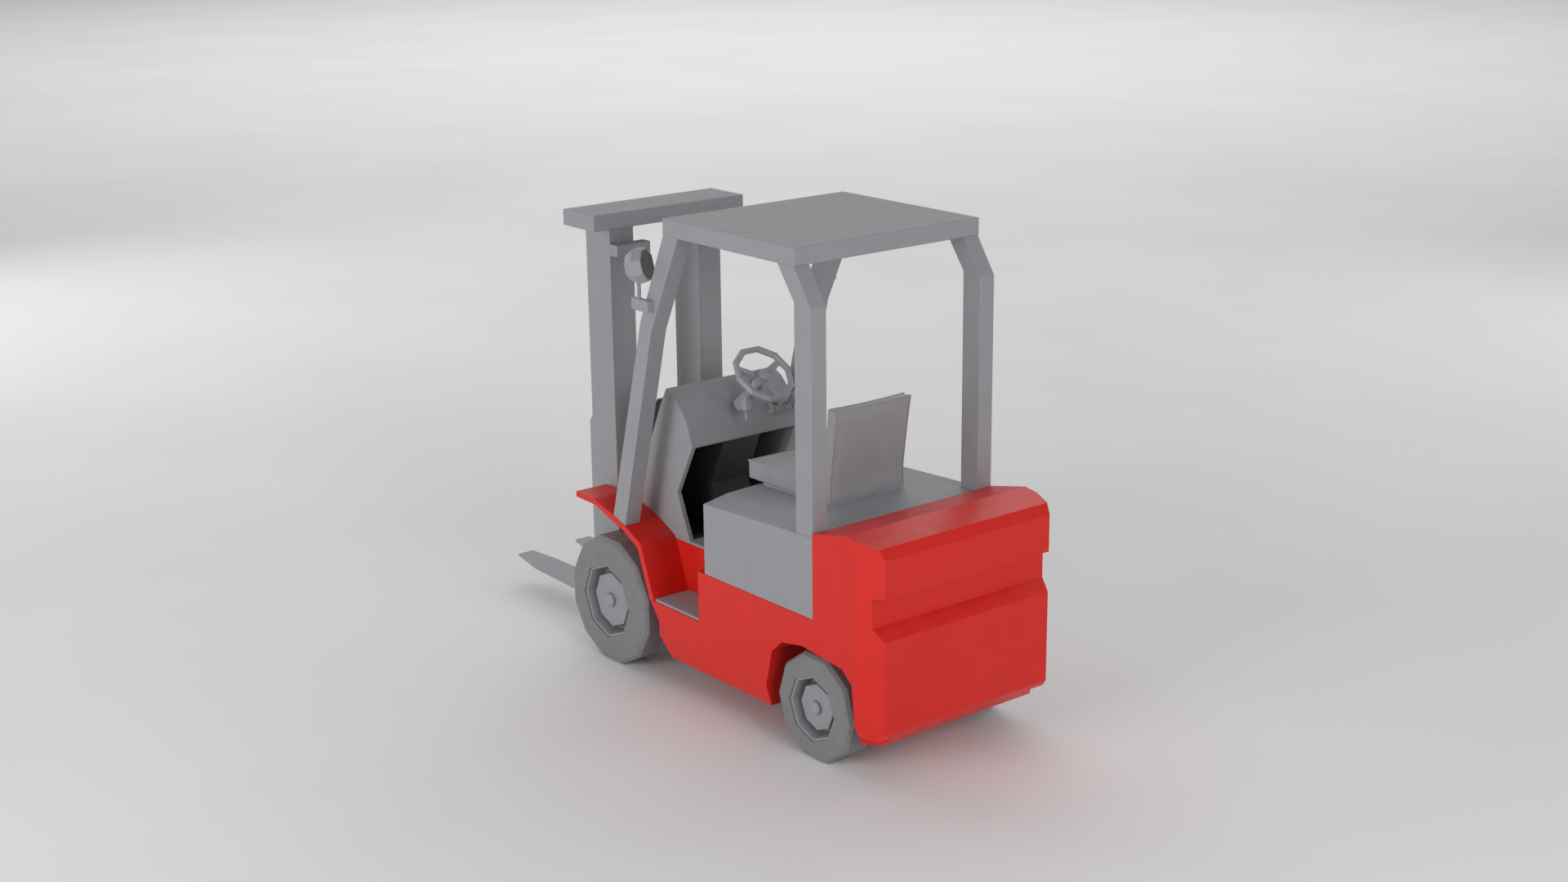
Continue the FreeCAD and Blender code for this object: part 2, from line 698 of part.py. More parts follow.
def rear_axle_beam():
    """Cross beam whose forked ends hold the kingpins."""
    z = rear_axle_z
    beam = box(-20.5, 20.5, wheelbase - 4.0, wheelbase + 4.0, z - 4.0, z + 4.0)
    for s in (-1, 1):
        x = s * kingpin_x
        a0, a1 = sorted((s * 19.5, x))
        w0, w1 = sorted((s * 18.5, s * 20.5))
        web = box(w0, w1, wheelbase - 4, wheelbase + 4, z - 8.4, z + 8.4)
        upper = box(a0, a1, wheelbase - ear_r, wheelbase + ear_r, z + 5.8, z + 8.4)
        lower = box(a0, a1, wheelbase - ear_r, wheelbase + ear_r, z - 8.4, z - 5.8)
        ears = [rod_z(x, wheelbase, z + 5.8, z + 8.4, ear_r), rod_z(x, wheelbase, z - 8.4, z - 5.8, ear_r)]
        pin = rod_z(x, wheelbase, z - 8.4, z + 8.4, kingpin_r)
        beam = beam.fuse([web, upper, lower, pin] + ears)
    return beam.removeSplitter()


def knuckle():
    """Left steering knuckle: barrel on the kingpin, stub axle and steering arm."""
    z = rear_axle_z
    barrel = rod_z(kingpin_x, wheelbase, z - 5.5, z + 5.5, ear_r)
    stub = rod_x(kingpin_x, hub_face - 0.1, wheelbase, z, axle_r)
    arm = box(kingpin_x - 1.3, kingpin_x + 1.3, wheelbase - steer_arm - 1.5, wheelbase, z - 5.5, z - 3.3)
    pin = rod_z(kingpin_x, wheelbase - steer_arm, z - 8.0, z - 4.0, rod_pin_r)
    body = join(barrel, stub, arm, pin)
    return body.cut(rod_z(kingpin_x, wheelbase, 0, z + 20, kingpin_r + run_fit))


def tie_rod():
    """Flat bar linking both steering arms; its eyes are slotted for the arms' swing."""
    y = wheelbase - steer_arm
    z1 = rear_axle_z - 5.7
    bar = box(-kingpin_x, kingpin_x, y - 1.9, y + 1.9, z1 - 1.6, z1)
    for s in (-1, 1):
        x = s * kingpin_x
        bar = bar.fuse(rod_z(x, y, z1 - 1.6, z1, 1.9))
    bar = bar.removeSplitter()
    for s in (-1, 1):
        x = s * kingpin_x
        slot_r = rod_pin_r + 0.06
        slot = box(x - slot_r, x + slot_r, y - 0.4, y + 0.4, 0, 20)
        slot = slot.fuse([rod_z(x, y - 0.4, 0, 20, slot_r), rod_z(x, y + 0.4, 0, 20, slot_r)])
        bar = bar.cut(slot)
    return bar


# ---- wheels --------------------------------------------------------------------
def tyre(y, z, radius, rim_r, sides):
    """Solid tyre with narrow shoulders and a side wall that swells towards the rim, left side."""
    loops = [ngon_x(tyre_in, y, z, 0.88 * radius, sides), ngon_x(tyre_in + shoulder_out, y, z, radius, sides),
             ngon_x(tyre_out - shoulder_out, y, z, radius, sides),
             ngon_x(tyre_out - 0.45 * shoulder_out, y, z, 0.95 * radius, sides),
             ngon_x(tyre_out, y, z, rim_r + 1.2, sides)]
    ring = loft(loops)
    hole = loft([ngon_x(x, y, z, rim_r, rim_sides, 0) for x in (tyre_in - 1, tyre_out + 1)])
    return ring.cut(hole)


def rim(y, z, rim_r, disc_r):
    """Eight-sided rim: a deep groove round a raised centre disc, and the running bore."""
    lip = tyre_out - 0.7
    floor = tyre_out - 6.8

    def loop(x, radius):
        return ngon_x(x, y, z, radius, rim_sides, 0)

    body = loft([loop(tyre_in + 0.9, rim_r), loop(lip, rim_r)])
    well = loft([loop(floor, rim_r - 2.0), loop(lip + 0.01, rim_r - 0.9)])
    disc = loft([loop(floor - 0.5, disc_r + 0.5), loop(hub_face, disc_r)])
    back = loft([loop(tyre_in + 0.8, rim_r - 2.0), loop(tyre_in + 3.4, 0.55 * rim_r)])
    boss = rod_x(tyre_in + 0.9, tyre_in + 4.0, y, z, 3.6)
    body = body.cut(well.cut(disc)).cut(back.cut(boss))
    return body.cut(rod_x(0, hub_face + 1.0, y, z, axle_r + run_fit))


def hub_cap(y, z, radius):
    """Faceted button that hides the end of the axle."""
    return loft([ngon_x(hub_face, y, z, radius, rim_sides), ngon_x(hub_face + 1.1, y, z, radius, rim_sides),
                 ngon_x(hub_face + 1.8, y, z, 0.6 * radius, rim_sides)])


def save_wheels():
    front_rim = 0.585 * front_tyre_r
    rear_rim = 0.61 * rear_tyre_r
    z = front_axle_z
    save_pair("front_tyre", outwards(tyre(0, z, front_tyre_r, front_rim, front_tyre_sides), front_offset))
    save_pair("front_rim", outwards(rim(0, z, front_rim, 0.73 * front_rim), front_offset))
    save_pair("front_hub_cap", outwards(hub_cap(0, z, 2.9), front_offset))
    save_pair("rear_tyre", tyre(wheelbase, rear_axle_z, rear_tyre_r, rear_rim, rear_tyre_sides))
    save_pair("rear_rim", rim(wheelbase, rear_axle_z, rear_rim, 0.7 * rear_rim))
    save_pair("rear_hub_cap", hub_cap(wheelbase, rear_axle_z, 2.6))


os.makedirs("parts", exist_ok=True)

save("chassis_frame", chassis_frame())
save_pair("body_side", body_side())
save_pair("front_fender", fender())
save_pair("step_plate", step_plate())
save("counterweight", counterweight())
save("cab_floor", cab_floor())
save("battery_hood", battery_hood())

save("cowl", cowl())
save("footwell_liner", footwell_liner())
save("column_cover", column_cover())

save("steering_column", steering_column())
save("steering_wheel", steering_wheel())
save("steering_cap", steering_cap())
save("direction_stalk", direction_stalk())
save("lever_rack", lever_rack())
for number in range(3):
    save("hydraulic_lever_%d" % (number + 1), hydraulic_lever(number))

save("seat_base", seat_base())
save("seat_cushion", seat_cushion())
save("seat_backrest", seat_backrest())

save("roof_panel", roof_panel())
save_pair("rear_post", rear_post())
save_pair("front_pillar", front_pillar())

save_pair("mirror_bracket", mirror_bracket())
save_pair("mirror_head", mirror_head())
save_pair("mirror_glass", mirror_glass())

save_pair("mast_upright", mast_upright())
save("mast_crossbeam", mast_crossbeam())
save("mast_tie_bars", mast_tie_bars())
save("mast_pin", mast_pin())
save("carriage", carriage())
save_pair("fork", fork())

save("front_axle", front_axle())
save("rear_axle_beam", rear_axle_beam())
save_pair("knuckle", knuckle())
save("tie_rod", tie_rod())
save_wheels()
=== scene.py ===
import json
import math

import bmesh
import bpy
from mathutils import Matrix, Vector


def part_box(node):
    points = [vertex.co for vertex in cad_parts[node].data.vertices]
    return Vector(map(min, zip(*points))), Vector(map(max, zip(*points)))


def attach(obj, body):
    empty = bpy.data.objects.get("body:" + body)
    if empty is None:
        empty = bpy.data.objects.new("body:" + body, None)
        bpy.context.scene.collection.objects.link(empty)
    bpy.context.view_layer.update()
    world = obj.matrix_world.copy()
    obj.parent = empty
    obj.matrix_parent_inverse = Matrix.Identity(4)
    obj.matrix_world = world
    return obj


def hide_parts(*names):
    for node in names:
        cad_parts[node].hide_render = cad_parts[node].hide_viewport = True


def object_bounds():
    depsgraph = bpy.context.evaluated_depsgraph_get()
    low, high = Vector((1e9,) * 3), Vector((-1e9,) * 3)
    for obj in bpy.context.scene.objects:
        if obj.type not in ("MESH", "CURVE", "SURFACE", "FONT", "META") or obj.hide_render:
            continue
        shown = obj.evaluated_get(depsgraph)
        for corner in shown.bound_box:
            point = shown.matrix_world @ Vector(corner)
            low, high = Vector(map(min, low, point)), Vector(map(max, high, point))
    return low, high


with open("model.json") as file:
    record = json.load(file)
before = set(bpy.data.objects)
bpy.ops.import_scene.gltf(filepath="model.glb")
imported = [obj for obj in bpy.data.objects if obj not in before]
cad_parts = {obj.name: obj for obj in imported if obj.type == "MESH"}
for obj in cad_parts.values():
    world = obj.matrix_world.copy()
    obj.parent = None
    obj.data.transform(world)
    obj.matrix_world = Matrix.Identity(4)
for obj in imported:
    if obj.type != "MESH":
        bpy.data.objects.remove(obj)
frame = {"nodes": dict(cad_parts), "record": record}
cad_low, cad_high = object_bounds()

MM = 0.001                  # one millimetre in metres
scene = bpy.context.scene


# ---- shader graphs ----------------------------------------------------------
class Graph:
    """One node material: adds shader nodes and links or sets their inputs."""

    def __init__(self, name):
        self.material = bpy.data.materials.new(name)
        self.material.use_nodes = True
        self.nodes = self.material.node_tree.nodes
        self.links = self.material.node_tree.links
        self.nodes.clear()
        self.place = self.add("TexCoord").outputs["Object"]

    def add(self, kind, inputs=None, **props):
        made = self.nodes.new("ShaderNode" + kind)
        for key, value in props.items():
            setattr(made, key, value)
        for key, value in (inputs or {}).items():
            if isinstance(value, bpy.types.NodeSocket):
                self.links.new(value, made.inputs[key])
            else:
                made.inputs[key].default_value = value
        return made

    def noise(self, per_metre, detail=2.0, stretch=(1, 1, 1), turn=(0, 0, 0), roughness=0.5):
        """Noise with about per_metre features a metre, longer along an axis whose stretch is below 1."""
        where = self.add("Mapping", {"Vector": self.place, "Rotation": turn, "Scale": stretch}).outputs[0]
        made = self.add("TexNoise", {"Vector": where, "Scale": per_metre, "Detail": detail,
                                     "Roughness": roughness})
        return made.outputs["Fac"]

    def cells(self, per_metre):
        """Distance from the middle of rounded cells: 0 in the middle, higher at their borders."""
        made = self.add("TexVoronoi", {"Vector": self.place, "Scale": per_metre}, feature="SMOOTH_F1")
        return made.outputs["Distance"]

    def remap(self, value, low, high, out_low=0.0, out_high=1.0):
        made = self.add("MapRange", {"Value": value, "From Min": low, "From Max": high,
                                     "To Min": out_low, "To Max": out_high})
        return made.outputs["Result"]

    def math(self, operation, a, b):
        return self.add("Math", {0: a, 1: b}, operation=operation).outputs[0]

    def mix(self, share, a, b):
        """Colour a where share is 0 and colour b where it is 1."""
        made = self.add("Mix", {0: share, 6: a, 7: b}, data_type="RGBA", clamp_factor=True)
        return made.outputs[2]

    def edges(self, radius, low, high):
        """1 along edges and in corners, 0 on open faces."""
        rounded = self.add("Bevel", {"Radius": radius}, samples=6).outputs["Normal"]
        flat = self.add("NewGeometry").outputs["Normal"]
        dot = self.add("VectorMath", {0: rounded, 1: flat}, operation="DOT_PRODUCT").outputs["Value"]
        return self.remap(dot, low, high, 1.0, 0.0)

    def open_air(self, reach):
        """1 in the open, 0 in tight corners of the same piece."""
        made = self.add("AmbientOcclusion", {"Distance": reach}, samples=4, only_local=True)
        return made.outputs["AO"]

    def bump(self, height, distance, strength=1.0, under=None):
        inputs = {"Height": height, "Distance": distance, "Strength": strength}
        if under is not None:
            inputs["Normal"] = under
        return self.add("Bump", inputs).outputs["Normal"]

    def finish(self, colour, roughness, normal, **fixed):
        """Principled shader; fixed values sit on the shader's own sockets."""
        shader = self.add("BsdfPrincipled", {"Base Color": colour, "Roughness": roughness, "Normal": normal})
        for key, value in fixed.items():
            shader.inputs[key.replace("_", " ")].default_value = value
        out = self.add("OutputMaterial", {"Surface": shader.outputs[0]})
        out.target = "ALL"
        return self.material


def tint(colour, factor, lift=0.0):
    """The colour made lighter or darker by factor, and paler by lift."""
    return tuple(min(1.0, c * factor + lift) for c in colour) + (1.0,)


def moulded(name, colour, roughness, grain=1.0, wear=0.5, lift=0.02, dust=0.35):
    """Moulded plastic: clouded pigment, fine grain, hairline scratches, rubbed edges and painted shade
    darkening its corners.
    """
    g = Graph(name)
    cloud = g.remap(g.noise(110, 4), 0.36, 0.64)
    flow = g.remap(g.noise(420, 3, stretch=(1, 0.28, 1)), 0.35, 0.65)
    base = g.mix(cloud, tint(colour, 0.975), tint(colour, 1.02))
    base = g.mix(g.math("MULTIPLY", flow, 0.20), base, tint(colour, 0.93))
    # painted shade: ambient occlusion darkens the piece's own tight corners, standing in for the shade that
    # falls there
    corner = g.remap(g.open_air(0.006), 0.45, 0.95, 1.0, 0.0)
    base = g.mix(g.math("MULTIPLY", corner, dust), base, tint(colour, 0.55))
    patchy = g.remap(g.noise(1300, 4, roughness=0.65), 0.42, 0.60)
    rubbed = g.math("MULTIPLY", g.edges(0.00055, 0.80, 0.985), patchy)
    base = g.mix(g.math("MULTIPLY", rubbed, wear), base, tint(colour, 1.12, lift))
    line_a = g.noise(2600, 0, stretch=(1, 0.03, 1), turn=(0.3, 0.2, 0.5))
    line_b = g.noise(3100, 0, stretch=(0.035, 1, 0.6), turn=(-0.4, 0.3, 0.2))
    hair_a = g.math("MULTIPLY", g.remap(line_a, 0.74, 0.78), 0.5)
    hair_b = g.math("MULTIPLY", g.remap(line_b, 0.75, 0.79), 0.5)
    hair = g.math("MAXIMUM", hair_a, hair_b)
    base = g.mix(g.math("MULTIPLY", hair, 0.14), base, tint(colour, 1.06, lift))
    rough = g.remap(g.noise(160, 4), 0.3, 0.7, roughness - 0.04, roughness + 0.05)
    rough = g.math("ADD", rough, g.math("MULTIPLY", hair, 0.10))
    rough = g.math("SUBTRACT", rough, g.math("MULTIPLY", rubbed, 0.10))
    fine = g.noise(4300, 3, roughness=0.6)
    sink = g.noise(60, 1)
    normal = g.bump(sink, 0.00002)
    normal = g.bump(fine, 0.000016 * grain, under=normal)
    normal = g.bump(g.math("MULTIPLY", hair, -1.0), 0.000010, under=normal)
    return g.finish(base, rough, normal, IOR=1.45, Specular_IOR_Level=0.40)


def rubber(name, colour):
    """Solid tyre rubber: matt, faintly mottled and speckled, with scuffed edges and painted shade in its
    corners.
    """
    g = Graph(name)
    cloud = g.remap(g.noise(330, 4), 0.35, 0.65)
    base = g.mix(cloud, tint(colour, 0.95), tint(colour, 1.04))
    specks = g.remap(g.noise(1900, 2), 0.60, 0.72)
    base = g.mix(g.math("MULTIPLY", specks, 0.35), base, tint(colour, 0.62))
    scuffed = g.math("MULTIPLY", g.edges(0.0009, 0.75, 0.98), g.remap(g.noise(1200, 4), 0.42, 0.60))
    base = g.mix(g.math("MULTIPLY", scuffed, 0.30), base, tint(colour, 1.15, 0.05))
    # painted shade: ambient occlusion darkens the tyre's own tight corners, standing in for the shade that
    # falls there
    corner = g.remap(g.open_air(0.005), 0.4, 0.95, 1.0, 0.0)
    base = g.mix(g.math("MULTIPLY", corner, 0.45), base, tint(colour, 0.45))
    rough = g.remap(g.noise(260, 3), 0.3, 0.7, 0.62, 0.80)
    pebble = g.cells(2600)
    normal = g.bump(g.noise(900, 4), 0.00003)
    normal = g.bump(pebble, 0.000040, under=normal)
    return g.finish(base, rough, normal, IOR=1.52)


def vinyl(name, colour):
    """Upholstery vinyl: cell grain with soft creases, worn edges and a low sheen."""
    g = Graph(name)
    cloud = g.remap(g.noise(160, 3), 0.35, 0.65)
    base = g.mix(cloud, tint(colour, 0.97), tint(colour, 1.03))
    cells = g.cells(1750)
    base = g.mix(g.remap(cells, 0.15, 0.62, 0.0, 0.22), base, tint(colour, 0.66))
    worn = g.math("MULTIPLY", g.edges(0.0012, 0.70, 0.98), g.remap(g.noise(420, 3), 0.42, 0.62))
    base = g.mix(g.math("MULTIPLY", worn, 0.40), base, tint(colour, 1.15, 0.03))
    rough = g.remap(cells, 0.1, 0.6, 0.42, 0.60)
    creases = g.remap(g.noise(230, 2, stretch=(1, 0.35, 1)), 0.40, 0.62)
    normal = g.bump(creases, 0.00004)
    normal = g.bump(g.math("MULTIPLY", cells, -1.0), 0.00006, under=normal)
    return g.finish(base, rough, normal, IOR=1.5, Sheen_Weight=0.12, Sheen_Roughness=0.45)


def turned_steel(name, colour):
    """Turned pin: fine rings round the X axis with faint stains."""
    g = Graph(name)
    rings = g.noise(5200, 1, stretch=(1, 0.02, 0.02))
    base = g.mix(g.remap(rings, 0.35, 0.65), tint(colour, 0.82), tint(colour, 1.1))
    stain = g.remap(g.noise(350, 4), 0.52, 0.70)
    base = g.mix(g.math("MULTIPLY", stain, 0.4), base, tint(colour, 0.55))
    rough = g.remap(g.noise(900, 3), 0.3, 0.7, 0.26, 0.44)
    normal = g.bump(rings, 0.000012)
    return g.finish(base, rough, normal, Metallic=1.0)


def polished(name, colour):
    """Polished plastic face with fine swirl marks and a few smears."""
    g = Graph(name)
    base = g.mix(g.remap(g.noise(200, 3), 0.4, 0.6), tint(colour, 0.92), tint(colour, 1.06))
    smear = g.remap(g.noise(380, 4, stretch=(1, 1, 0.4)), 0.45, 0.70)
    swirl = g.remap(g.noise(2600, 1, stretch=(0.1, 0.1, 1)), 0.58, 0.66)
    rough = g.remap(smear, 0.0, 1.0, 0.10, 0.24)
    rough = g.math("ADD", rough, g.math("MULTIPLY", swirl, 0.08))
    normal = g.bump(g.noise(900, 2), 0.000006)
    return g.finish(base, rough, normal, IOR=1.5, Coat_Weight=0.6, Coat_Roughness=0.06)


# the last value of each moulded look sets how strongly painted shade darkens its corners
MAKERS = {
    "red_plastic": (moulded, {"roughness": 0.38, "grain": 0.8, "wear": 0.3, "lift": 0.03, "dust": 0.5}),
    "grey_plastic": (moulded, {"roughness": 0.47, "wear": 0.3, "lift": 0.04, "dust": 0.45}),
    "black_plastic": (moulded, {"roughness": 0.55, "grain": 1.4, "lift": 0.03, "dust": 0.2}),
    "dark_plastic": (moulded, {"roughness": 0.50, "grain": 1.2, "lift": 0.04, "dust": 0.3}),
    "frame_plastic": (moulded, {"roughness": 0.55, "grain": 1.3, "lift": 0.04, "dust": 0.4}),
    "tyre_rubber": (rubber, {}),
    "seat_vinyl": (vinyl, {}),
    "pin_steel": (turned_steel, {}),
    "mirror_face": (polished, {}),
}
colours = {m["slot"]: tuple(m["base_color"][:3]) for m in frame["record"]["materials"]}
looks = {slot: maker(slot, colours[slot], **extra) for slot, (maker, extra) in MAKERS.items()}
slot_of = {row["node"]: row["material_slot"] for row in frame["record"]["subparts"]}
body_of = {node: body for body, nodes in frame["record"]["behaviour"]["bodies"].items() for node in nodes}


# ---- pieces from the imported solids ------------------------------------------
def add_piece(name, mesh, body, slot, *nodes):
    """Links a finished mesh, puts it on its body and gives it its material."""
    piece = bpy.data.objects.new(name, mesh)
    scene.collection.objects.link(piece)
    mesh.materials.clear()
    mesh.materials.append(looks[slot])
    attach(piece, body)
    if nodes:
        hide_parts(*nodes)
    return piece


def shade(piece):
    """Smooth shading weighted by face size, so bevels round off and big faces stay flat."""
    weighted = piece.modifiers.new("Weighted", "WEIGHTED_NORMAL")
    weighted.keep_sharp = True
    weighted.weight = 100
    return piece


def edge_angle(edge):
    """How far the surface turns over an edge, in degrees."""
    return math.degrees(edge.calc_face_angle(0.0)) if len(edge.link_faces) == 2 else 0.0


def eased(node, radius, fold=24.0, low=24.0):
    """The node's solid with its moulded edges eased by radius, in mm. Edges that turn less than low
    degrees are not eased, and those that turn fold degrees or more are shaded as creases."""
    mesh = bpy.data.meshes.new(node)
    bm = bmesh.new()
    bm.from_mesh(frame["nodes"][node].data)
    bmesh.ops.remove_doubles(bm, verts=bm.verts, dist=0.002 * MM)
    bmesh.ops.dissolve_limit(bm, angle_limit=math.radians(0.3), verts=bm.verts, edges=bm.edges)
    long_enough = 3.2 * radius * MM
    chosen = []
    for edge in bm.edges:
        angle = edge_angle(edge)
        edge.smooth = angle < fold
        if angle >= low and edge.calc_length() >= long_enough:
            chosen.append(edge)
    bmesh.ops.bevel(bm, geom=chosen, offset=radius * MM, offset_type="OFFSET", segments=2, profile=0.5,
                    affect="EDGES", clamp_overlap=True)
    for face in bm.faces:
        face.smooth = True
    bmesh.ops.recalc_face_normals(bm, faces=bm.faces)
    bm.to_mesh(mesh)
    bm.free()
    return shade(add_piece(node + "_shell", mesh, body_of[node], slot_of[node], node))


SMALL_EASE = 0.18           # edge radius of the pieces that EASE doesn't name, in mm
EASE = {"body_side": 0.30, "counterweight": 0.42, "battery_hood": 0.32, "roof_panel": 0.30,
        "mast_crossbeam": 0.30}
FOLDED = ("battery_hood", "counterweight", "front_fender")      # their shallow folds stay crisp
for node in sorted(frame["nodes"]):
    if node in ("seat_cushion", "seat_backrest"):
        continue
    key = node.replace("_left", "").replace("_right", "")
    eased(node, EASE.get(key, SMALL_EASE), fold=3.0 if key in FOLDED else 24.0)


# ---- seat: padded pieces -----------------------------------------------------
SIM_SCALE = 20.0            # the cloth is simulated this much larger, where the solver is steady
SIM_FRAMES = 24
SEAM_CREASE = 0.55
BACK_LEAN = 3.7             # how far the backrest leans back, in mm
BACK_FOLD = 8.4             # height of its upright foot, in mm


def lattice(counts, place):
    """Closed shell of quads over a box lattice; place maps (u, v, w), each -1 to 1, to a point in mm."""
    nx, ny, nz = counts
    bm = bmesh.new()
    verts = {}

    def vert(i, j, k):
        if (i, j, k) not in verts:
            at = place(2.0 * i / nx - 1.0, 2.0 * j / ny - 1.0, 2.0 * k / nz - 1.0)
            verts[i, j, k] = bm.verts.new(Vector(at) * MM)
        return verts[i, j, k]

    def quad(*corners):
        bm.faces.new([vert(*c) for c in corners])

    for i in range(nx):
        for j in range(ny):
            quad((i, j, 0), (i, j + 1, 0), (i + 1, j + 1, 0), (i + 1, j, 0))
            quad((i, j, nz), (i + 1, j, nz), (i + 1, j + 1, nz), (i, j + 1, nz))
        for k in range(nz):
            quad((i, 0, k), (i + 1, 0, k), (i + 1, 0, k + 1), (i, 0, k + 1))
            quad((i, ny, k), (i, ny, k + 1), (i + 1, ny, k + 1), (i + 1, ny, k))
    for j in range(ny):
        for k in range(nz):
            quad((0, j, k), (0, j, k + 1), (0, j + 1, k + 1), (0, j + 1, k))
            quad((nx, j, k), (nx, j + 1, k), (nx, j + 1, k + 1), (nx, j, k + 1))
    bm.verts.index_update()
    index = {key: v.index for key, v in verts.items()}
    mesh = bpy.data.meshes.new("pad")
    bm.to_mesh(mesh)
    bm.free()
    return mesh, index


def puff(mesh, held, most, pressure):
    """Blows the cover up as cloth. held gives each point's pin weight, and most the furthest that it
    may move, in mm."""
    start = [v.co.copy() for v in mesh.vertices]
    mesh.transform(Matrix.Scale(SIM_SCALE, 4))
    pad = bpy.data.objects.new("pad_simulation", mesh)
    scene.collection.objects.link(pad)
    group = pad.vertex_groups.new(name="held")
    for i, weight in enumerate(held):
        group.add([i], weight, "REPLACE")
    cloth = pad.modifiers.new("Cloth", "CLOTH")
    cloth.settings.quality = 6
    cloth.settings.mass = 0.2
    cloth.settings.tension_stiffness = 20.0
    cloth.settings.compression_stiffness = 20.0
    cloth.settings.bending_stiffness = 1.5
    cloth.settings.use_pressure = True
    cloth.settings.uniform_pressure_force = pressure
    cloth.settings.effector_weights.gravity = 0.0
    cloth.settings.vertex_group_mass = "held"
    cloth.settings.pin_stiffness = 4.0
    cloth.collision_settings.use_collision = False
    cloth.collision_settings.use_self_collision = False
    cloth.point_cache.frame_start = 1
    cloth.point_cache.frame_end = SIM_FRAMES
    for number in range(1, SIM_FRAMES + 1):
        scene.frame_set(number)
    bpy.context.view_layer.update()
    evaluated = pad.evaluated_get(bpy.context.evaluated_depsgraph_get())
    puffed = [v.co / SIM_SCALE for v in evaluated.to_mesh().vertices]
    evaluated.to_mesh_clear()
    bpy.data.objects.remove(pad)
    scene.frame_set(1)
    for v, before, after, limit in zip(mesh.vertices, start, puffed, most):
        step = after - before
        if step.length > limit * MM:
            step *= limit * MM / step.length
        v.co = before + step


def pad_piece(name, node, mesh, creased):
    """The padded cover as a finished piece, with its sewn edges creased."""
    bm = bmesh.new()
    bm.from_mesh(mesh)
    layer = bm.edges.layers.float.get("crease_edge") or bm.edges.layers.float.new("crease_edge")
    for edge in bm.edges:
        if all(v.index in creased for v in edge.verts):
            edge[layer] = SEAM_CREASE
    for face in bm.faces:
        face.smooth = True
    bmesh.ops.recalc_face_normals(bm, faces=bm.faces)
    bm.to_mesh(mesh)
    bm.free()
    mesh.name = name
    piece = add_piece(name, mesh, body_of[node], "seat_vinyl", node)
    smooth = piece.modifiers.new("Subdivision", "SUBSURF")
    smooth.levels = 1
    smooth.render_levels = 1
    return piece


def welt(name, body, points, radius):
    """Round piping along a closed seam."""
    count = len(points)
    sides = 8
    bm = bmesh.new()
    rings = []
    middle = sum(points, Vector()) / count
    for i, p in enumerate(points):
        ahead = (points[(i + 1) % count] - points[i - 1]).normalized()
        out = p - middle
        out = (out - ahead * out.dot(ahead)).normalized()
        up = ahead.cross(out)
        ring = []
        for k in range(sides):
            a = 2.0 * math.pi * k / sides
            ring.append(bm.verts.new(p + (out * math.cos(a) + up * math.sin(a)) * radius * MM))
        rings.append(ring)
    for i in range(count):
        for k in range(sides):
            a, b = rings[i], rings[(i + 1) % count]
            bm.faces.new((a[k], a[(k + 1) % sides], b[(k + 1) % sides], b[k]))
    for face in bm.faces:
        face.smooth = True
    bmesh.ops.recalc_face_normals(bm, faces=bm.faces)
    mesh = bpy.data.meshes.new(name)
    bm.to_mesh(mesh)
    bm.free()
    return add_piece(name, mesh, body, "seat_vinyl")


def box_mm(node):
    """Lowest and highest corners of a node, in mm."""
    low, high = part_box(node)
    return low / MM, high / MM


def perimeter(nx, ny):
    """Lattice steps once round the edge of an nx by ny sheet."""
    walk = [(i, 0) for i in range(nx)] + [(nx, j) for j in range(ny)]
    return walk + [(i, ny) for i in range(nx, 0, -1)] + [(0, j) for j in range(ny, 0, -1)]


def make_cushion():
    """Seat cushion whose top rises to the rear, with piping round its top edge."""
    low, high = box_mm("seat_cushion")
    inset = 0.35
    rise = 1.5
    top_front = high.z - rise - 0.6
    side_pull = 0.18        # how far the cover's sides are drawn in at their middles
    end_pull = 0.25         # and its front and rear
    counts = (30, 36, 6)

    def place(u, v, w):
        half = (high.x - low.x) / 2.0 - inset
        x = (low.x + high.x) / 2.0 + u * (half - side_pull * (1.0 - v * v))
        y = low.y + inset + (v + 1.0) / 2.0 * (high.y - low.y - 2.0 * inset)
        y -= v * end_pull * (1.0 - u * u)
        top = top_front + rise * (v + 1.0) / 2.0
        return x, y, low.z + (w + 1.0) / 2.0 * (top - low.z)

    mesh, index = lattice(counts, place)
    nx, ny, nz = counts
    held = [0.0] * len(index)
    most = [0.0] * len(index)
    seam = set()
    for (i, j, k), n in index.items():
        on_edge = i in (0, nx) or j in (0, ny)
        held[n] = 1.0 if k == 0 else (0.55 if on_edge else 0.0)
        most[n] = 0.0 if k == 0 else (0.28 if on_edge else 1.15)
        if on_edge and k in (0, nz):
            seam.add(n)
    puff(mesh, held, most, 5.0)
    top_seam = [mesh.vertices[index[i, j, nz]].co.copy() for i, j in perimeter(nx, ny)]
    pad_piece("seat_cushion_pad", "seat_cushion", mesh, seam)
    welt("seat_cushion_welt", body_of["seat_cushion"], top_seam, 0.32)


